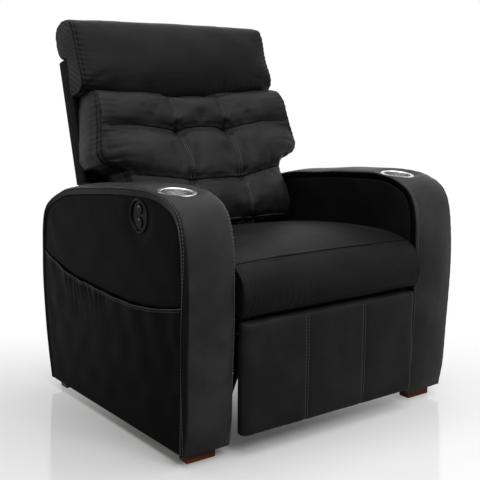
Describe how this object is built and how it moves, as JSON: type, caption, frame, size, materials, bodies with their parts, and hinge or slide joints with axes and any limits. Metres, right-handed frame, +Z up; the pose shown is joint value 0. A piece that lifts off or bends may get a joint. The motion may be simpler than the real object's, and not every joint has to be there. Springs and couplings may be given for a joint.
{
  "type": "powered cinema recliner",
  "caption": "powered cinema recliner seat with broad cup-holder arms, boxed seat, tufted lumbar back, lapped headrest, side pocket and a footrest on a scissor linkage",
  "frame": {"origin": "centre of the footprint of the whole seat's bounding box, on the floor", "axes": "+X to the sitter's left (the arm without the pocket), the front faces -Y, +Z up"},
  "size_m": [0.862, 0.855, 1.0302],
  "materials": {
    "upholstery_leather": "satin black upholstery leather with a fine grain",
    "birch_plywood": "bare birch plywood and sawn rails",
    "stained_wood": "reddish brown stained hardwood",
    "stainless_steel": "satin stainless steel",
    "gloss_black_plastic": "gloss black",
    "button_plastic": "satin black",
    "black_plastic": "matt black",
    "painted_steel": "black powder coat",
    "zinc_steel": "bright zinc plate"
  },
  "bodies": {
    "chair_base": {"right_arm_frame": "birch_plywood", "right_arm_band": "upholstery_leather", "right_arm_outer_panel": "upholstery_leather", "right_arm_inner_panel": "upholstery_leather", "left_arm_frame": "birch_plywood", "left_arm_band": "upholstery_leather", "left_arm_outer_panel": "upholstery_leather", "left_arm_inner_panel": "upholstery_leather", "right_cup_holder": "stainless_steel", "left_cup_holder": "stainless_steel", "side_pocket": "upholstery_leather", "control_bezel": "gloss_black_plastic", "front_right_foot": "stained_wood", "front_left_foot": "stained_wood", "rear_right_foot": "stained_wood", "rear_left_foot": "stained_wood", "front_cross_rail": "birch_plywood", "rear_cross_rail": "birch_plywood", "rear_panel": "upholstery_leather", "power_inlet": "black_plastic", "control_box": "black_plastic", "right_seat_rail": "birch_plywood", "left_seat_rail": "birch_plywood", "right_side_plate": "painted_steel", "left_side_plate": "painted_steel", "fixed_rivets": "zinc_steel", "seat_frame": "birch_plywood", "seat_springs": "zinc_steel", "seat_cushion": "upholstery_leather", "footrest_rail": "zinc_steel", "footrest_gearmotor": "black_plastic", "recline_rail": "zinc_steel", "recline_gearmotor": "black_plastic"},
    "drive_arm": {"torque_tube": "painted_steel", "drive_links": "painted_steel", "drive_link_rivets": "zinc_steel"},
    "front_arm": {"front_links": "painted_steel", "front_link_rivets": "zinc_steel"},
    "footrest": {"rest_brackets": "painted_steel", "rest_bracket_rivets": "zinc_steel", "rest_board": "birch_plywood", "rest_pad": "upholstery_leather"},
    "lower_arm": {"lower_links": "painted_steel", "lower_link_rivets": "zinc_steel"},
    "stay_arm": {"stay_links": "painted_steel"},
    "footrest_carriage": {"footrest_fork": "painted_steel"},
    "back": {"back_frame": "birch_plywood", "back_brackets": "painted_steel", "recline_crank": "painted_steel", "back_shell": "upholstery_leather", "lumbar_cushion": "upholstery_leather", "headrest_cushion": "upholstery_leather"},
    "recline_carriage": {"recline_fork": "painted_steel"},
    "open_button_body": {"open_button": "button_plastic"},
    "close_button_body": {"close_button": "button_plastic"}
  },
  "joints": [
    {"name": "footrest_drive", "type": "hinge", "parent": "chair_base", "child": "drive_arm", "pos_m": [0, -0.3108, 0.292], "axis": [-1, 0, 0], "range_deg": [0, 105]},
    {"name": "front_arm_pivot", "type": "hinge", "parent": "drive_arm", "child": "front_arm", "pos_m": [0, -0.29069, 0.12823], "axis": [-1, 0, 0], "range_deg": [-139, 0]},
    {"name": "footrest_pivot", "type": "hinge", "parent": "front_arm", "child": "footrest", "pos_m": [0, -0.3525, 0.28122], "axis": [-1, 0, 0], "range_deg": [0, 125]},
    {"name": "lower_arm_pivot", "type": "hinge", "parent": "chair_base", "child": "lower_arm", "pos_m": [0, -0.28935, 0.26923], "axis": [-1, 0, 0], "range_deg": [0, 102.5]},
    {"name": "stay_arm_pivot", "type": "hinge", "parent": "lower_arm", "child": "stay_arm", "pos_m": [0, -0.27906, 0.07247], "axis": [-1, 0, 0], "range_deg": [-131.5, 0]},
    {"name": "footrest_carriage_slide", "type": "slide", "parent": "chair_base", "child": "footrest_carriage", "axis": [0, -1, 0], "range_m": [0, 0.0714]},
    {"name": "back_recline", "type": "hinge", "parent": "chair_base", "child": "back", "pos_m": [0, 0.1785, 0.33], "axis": [-1, 0, 0], "range_deg": [0, 40]},
    {"name": "recline_carriage_slide", "type": "slide", "parent": "chair_base", "child": "recline_carriage", "axis": [0, -1, 0], "range_m": [0, 0.0513]},
    {"name": "open_button_press", "type": "slide", "parent": "chair_base", "child": "open_button_body", "axis": [1, 0, 0], "range_m": [0, 0.0015], "stiffness_N_per_m": 1200, "springref_m": -0.0008},
    {"name": "close_button_press", "type": "slide", "parent": "chair_base", "child": "close_button_body", "axis": [1, 0, 0], "range_m": [0, 0.0015], "stiffness_N_per_m": 1200, "springref_m": -0.0008}
  ],
  "couplings": [
    {"joint": "front_arm_pivot", "follows": "footrest_drive", "ratio": -1.3238},
    {"joint": "footrest_pivot", "follows": "footrest_drive", "ratio": 1.1905},
    {"joint": "lower_arm_pivot", "follows": "footrest_drive", "ratio": 0.97619},
    {"joint": "stay_arm_pivot", "follows": "footrest_drive", "ratio": -1.2524},
    {"joint": "footrest_carriage_slide", "follows": "footrest_drive", "m_per_rad": 0.038961},
    {"joint": "recline_carriage_slide", "follows": "back_recline", "m_per_rad": 0.073482}
  ]
}
